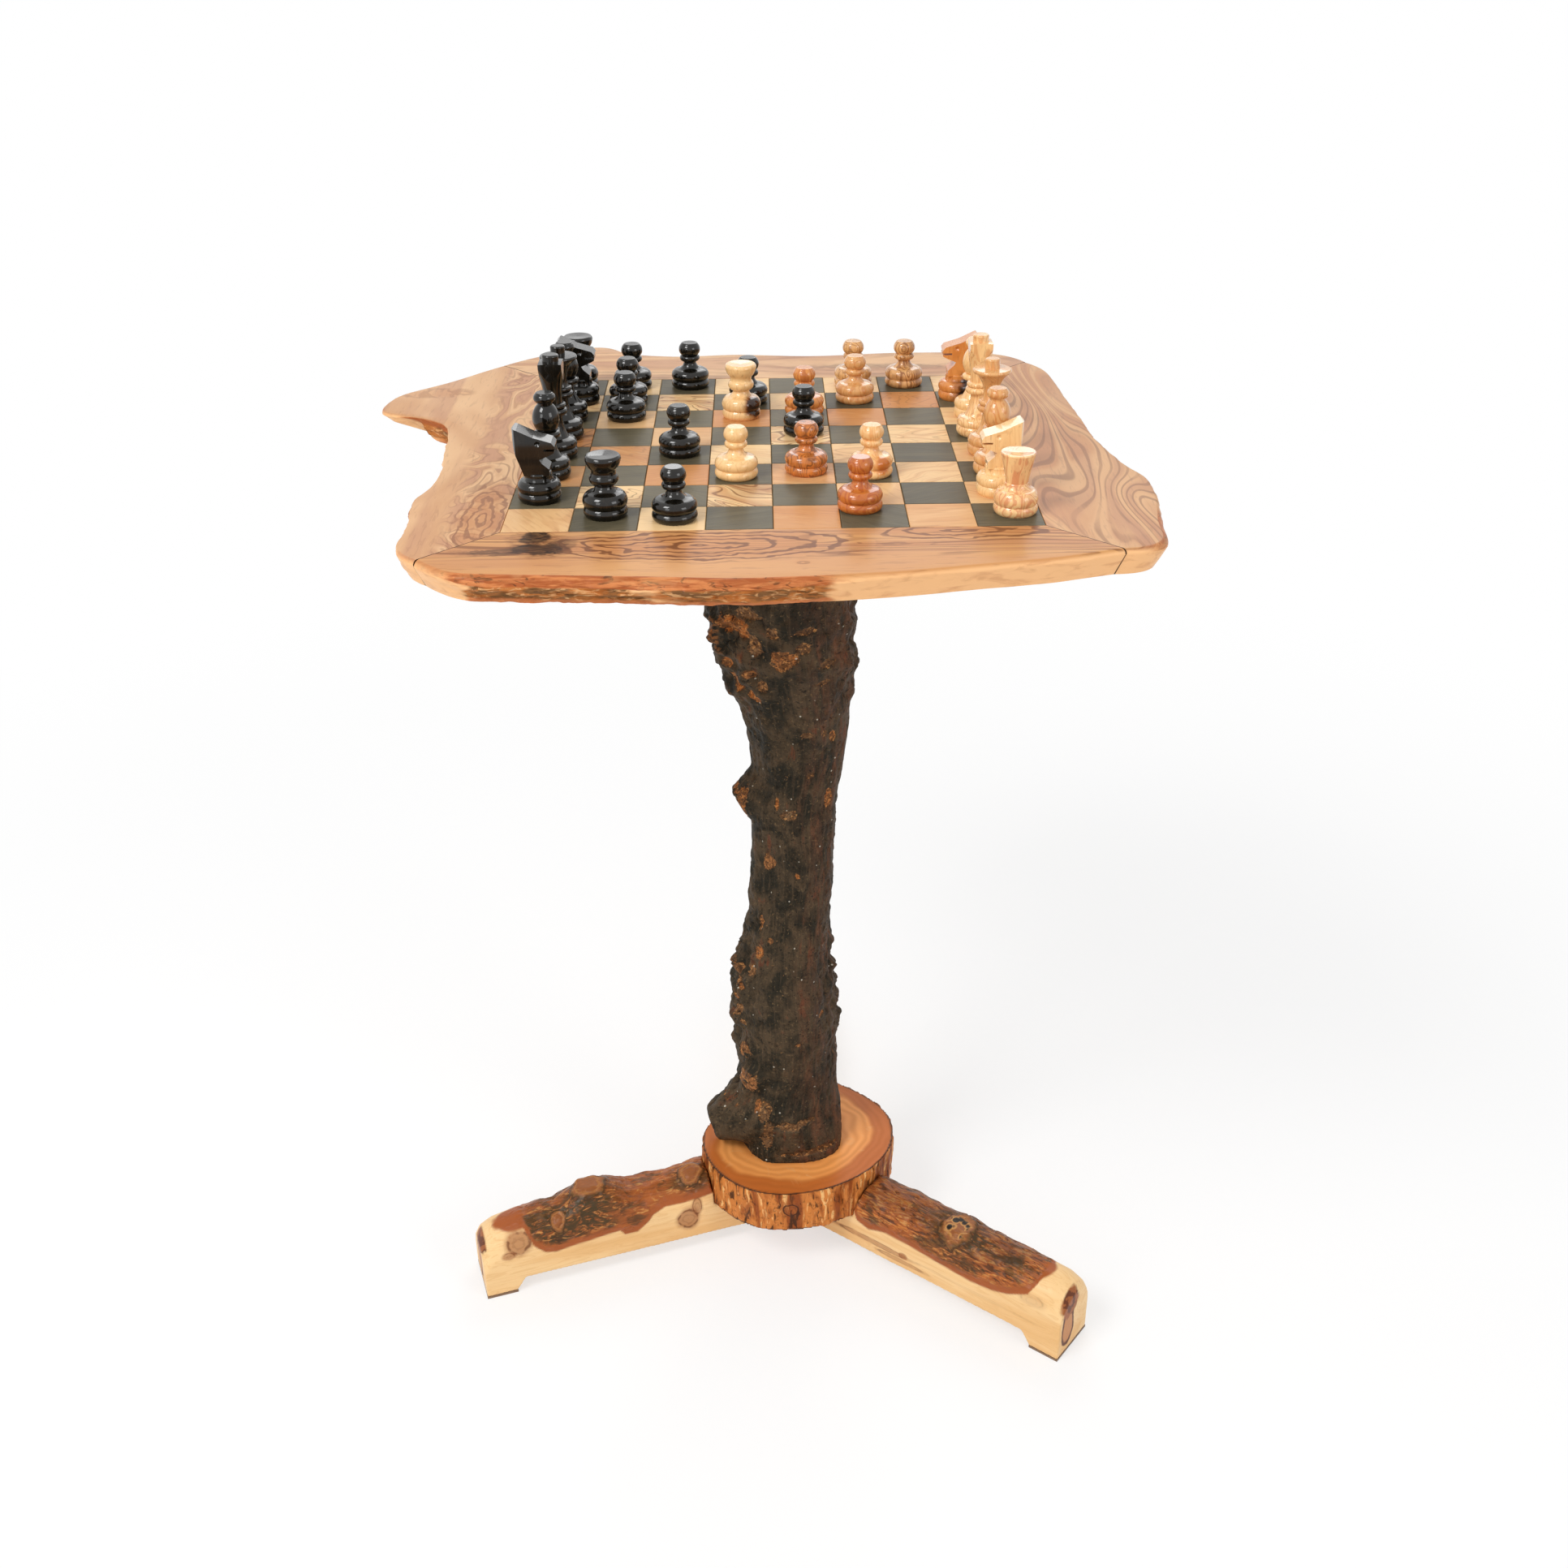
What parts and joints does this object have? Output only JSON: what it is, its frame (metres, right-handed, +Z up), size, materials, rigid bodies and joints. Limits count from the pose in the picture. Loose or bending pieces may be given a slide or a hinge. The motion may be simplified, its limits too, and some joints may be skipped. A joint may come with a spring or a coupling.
{
  "type": "chess table",
  "caption": "Rustic chess table with a live-edge top, inlaid board, bark trunk column on half-log legs and a turned wooden chess set standing on it.",
  "frame": {"origin": "on the floor, below the middle of the whole table's outline", "axes": "+X to the right of a viewer at the front rail, +Y away from that viewer, +Z up"},
  "size_m": [0.546, 0.5288, 0.7705],
  "materials": {
    "rail_olive_wood": "oiled, satin, wavy brown figure",
    "plain_wood": "raw sawn",
    "light_square_wood": "oiled, satin",
    "dark_square_wood": "stained dark olive grey, satin",
    "bark": "rough cracked bark",
    "slice_wood": "oiled end grain with a bark rim",
    "leg_wood": "sawn sides and bark back",
    "white_piece_wood": "turned and lacquered, glossy",
    "black_piece_wood": "turned, stained black and lacquered",
    "steel": "zinc plated",
    "felt": "pressed felt"
  },
  "bodies": {
    "table": {"front_rail": "rail_olive_wood", "right_rail": "rail_olive_wood", "back_rail": "rail_olive_wood", "left_rail": "rail_olive_wood", "mitre_splines": "plain_wood", "backing_panel": "plain_wood", "light_squares": "light_square_wood", "dark_squares": "dark_square_wood", "top_flange": "steel", "flange_screws": "steel", "column_stud": "steel", "column_bolt": "steel", "column_washer": "steel", "leg_screws": "steel", "trunk_column": "bark", "base_slice": "slice_wood", "left_leg": "leg_wood", "right_leg": "leg_wood", "back_leg": "leg_wood", "foot_pads": "felt"},
    "white_king": {"white_king": "white_piece_wood"},
    "white_queen": {"white_queen": "white_piece_wood"},
    "white_bishop_1": {"white_bishop_1": "white_piece_wood"},
    "white_bishop_2": {"white_bishop_2": "white_piece_wood"},
    "white_knight_1": {"white_knight_1": "white_piece_wood"},
    "white_knight_2": {"white_knight_2": "white_piece_wood"},
    "white_rook_1": {"white_rook_1": "white_piece_wood"},
    "white_rook_2": {"white_rook_2": "white_piece_wood"},
    "white_pawn_1": {"white_pawn_1": "white_piece_wood"},
    "white_pawn_2": {"white_pawn_2": "white_piece_wood"},
    "white_pawn_3": {"white_pawn_3": "white_piece_wood"},
    "white_pawn_4": {"white_pawn_4": "white_piece_wood"},
    "white_pawn_5": {"white_pawn_5": "white_piece_wood"},
    "white_pawn_6": {"white_pawn_6": "white_piece_wood"},
    "white_pawn_7": {"white_pawn_7": "white_piece_wood"},
    "white_pawn_8": {"white_pawn_8": "white_piece_wood"},
    "black_king": {"black_king": "black_piece_wood"},
    "black_queen": {"black_queen": "black_piece_wood"},
    "black_bishop_1": {"black_bishop_1": "black_piece_wood"},
    "black_bishop_2": {"black_bishop_2": "black_piece_wood"},
    "black_knight_1": {"black_knight_1": "black_piece_wood"},
    "black_knight_2": {"black_knight_2": "black_piece_wood"},
    "black_rook_1": {"black_rook_1": "black_piece_wood"},
    "black_rook_2": {"black_rook_2": "black_piece_wood"},
    "black_pawn_1": {"black_pawn_1": "black_piece_wood"},
    "black_pawn_2": {"black_pawn_2": "black_piece_wood"},
    "black_pawn_3": {"black_pawn_3": "black_piece_wood"},
    "black_pawn_4": {"black_pawn_4": "black_piece_wood"},
    "black_pawn_5": {"black_pawn_5": "black_piece_wood"},
    "black_pawn_6": {"black_pawn_6": "black_piece_wood"},
    "black_pawn_7": {"black_pawn_7": "black_piece_wood"},
    "black_pawn_8": {"black_pawn_8": "black_piece_wood"}
  },
  "joints": [
    {"name": "white_king_lift", "type": "slide", "parent": "table", "child": "white_king", "axis": [0, 0, 1], "range_m": [0, 0.12]},
    {"name": "white_queen_lift", "type": "slide", "parent": "table", "child": "white_queen", "axis": [0, 0, 1], "range_m": [0, 0.12]},
    {"name": "white_bishop_1_lift", "type": "slide", "parent": "table", "child": "white_bishop_1", "axis": [0, 0, 1], "range_m": [0, 0.12]},
    {"name": "white_bishop_2_lift", "type": "slide", "parent": "table", "child": "white_bishop_2", "axis": [0, 0, 1], "range_m": [0, 0.12]},
    {"name": "white_knight_1_lift", "type": "slide", "parent": "table", "child": "white_knight_1", "axis": [0, 0, 1], "range_m": [0, 0.12]},
    {"name": "white_knight_2_lift", "type": "slide", "parent": "table", "child": "white_knight_2", "axis": [0, 0, 1], "range_m": [0, 0.12]},
    {"name": "white_rook_1_lift", "type": "slide", "parent": "table", "child": "white_rook_1", "axis": [0, 0, 1], "range_m": [0, 0.12]},
    {"name": "white_rook_2_lift", "type": "slide", "parent": "table", "child": "white_rook_2", "axis": [0, 0, 1], "range_m": [0, 0.12]},
    {"name": "white_pawn_1_lift", "type": "slide", "parent": "table", "child": "white_pawn_1", "axis": [0, 0, 1], "range_m": [0, 0.12]},
    {"name": "white_pawn_2_lift", "type": "slide", "parent": "table", "child": "white_pawn_2", "axis": [0, 0, 1], "range_m": [0, 0.12]},
    {"name": "white_pawn_3_lift", "type": "slide", "parent": "table", "child": "white_pawn_3", "axis": [0, 0, 1], "range_m": [0, 0.12]},
    {"name": "white_pawn_4_lift", "type": "slide", "parent": "table", "child": "white_pawn_4", "axis": [0, 0, 1], "range_m": [0, 0.12]},
    {"name": "white_pawn_5_lift", "type": "slide", "parent": "table", "child": "white_pawn_5", "axis": [0, 0, 1], "range_m": [0, 0.12]},
    {"name": "white_pawn_6_lift", "type": "slide", "parent": "table", "child": "white_pawn_6", "axis": [0, 0, 1], "range_m": [0, 0.12]},
    {"name": "white_pawn_7_lift", "type": "slide", "parent": "table", "child": "white_pawn_7", "axis": [0, 0, 1], "range_m": [0, 0.12]},
    {"name": "white_pawn_8_lift", "type": "slide", "parent": "table", "child": "white_pawn_8", "axis": [0, 0, 1], "range_m": [0, 0.12]},
    {"name": "black_king_lift", "type": "slide", "parent": "table", "child": "black_king", "axis": [0, 0, 1], "range_m": [0, 0.12]},
    {"name": "black_queen_lift", "type": "slide", "parent": "table", "child": "black_queen", "axis": [0, 0, 1], "range_m": [0, 0.12]},
    {"name": "black_bishop_1_lift", "type": "slide", "parent": "table", "child": "black_bishop_1", "axis": [0, 0, 1], "range_m": [0, 0.12]},
    {"name": "black_bishop_2_lift", "type": "slide", "parent": "table", "child": "black_bishop_2", "axis": [0, 0, 1], "range_m": [0, 0.12]},
    {"name": "black_knight_1_lift", "type": "slide", "parent": "table", "child": "black_knight_1", "axis": [0, 0, 1], "range_m": [0, 0.12]},
    {"name": "black_knight_2_lift", "type": "slide", "parent": "table", "child": "black_knight_2", "axis": [0, 0, 1], "range_m": [0, 0.12]},
    {"name": "black_rook_1_lift", "type": "slide", "parent": "table", "child": "black_rook_1", "axis": [0, 0, 1], "range_m": [0, 0.12]},
    {"name": "black_rook_2_lift", "type": "slide", "parent": "table", "child": "black_rook_2", "axis": [0, 0, 1], "range_m": [0, 0.12]},
    {"name": "black_pawn_1_lift", "type": "slide", "parent": "table", "child": "black_pawn_1", "axis": [0, 0, 1], "range_m": [0, 0.12]},
    {"name": "black_pawn_2_lift", "type": "slide", "parent": "table", "child": "black_pawn_2", "axis": [0, 0, 1], "range_m": [0, 0.12]},
    {"name": "black_pawn_3_lift", "type": "slide", "parent": "table", "child": "black_pawn_3", "axis": [0, 0, 1], "range_m": [0, 0.12]},
    {"name": "black_pawn_4_lift", "type": "slide", "parent": "table", "child": "black_pawn_4", "axis": [0, 0, 1], "range_m": [0, 0.12]},
    {"name": "black_pawn_5_lift", "type": "slide", "parent": "table", "child": "black_pawn_5", "axis": [0, 0, 1], "range_m": [0, 0.12]},
    {"name": "black_pawn_6_lift", "type": "slide", "parent": "table", "child": "black_pawn_6", "axis": [0, 0, 1], "range_m": [0, 0.12]},
    {"name": "black_pawn_7_lift", "type": "slide", "parent": "table", "child": "black_pawn_7", "axis": [0, 0, 1], "range_m": [0, 0.12]},
    {"name": "black_pawn_8_lift", "type": "slide", "parent": "table", "child": "black_pawn_8", "axis": [0, 0, 1], "range_m": [0, 0.12]}
  ]
}
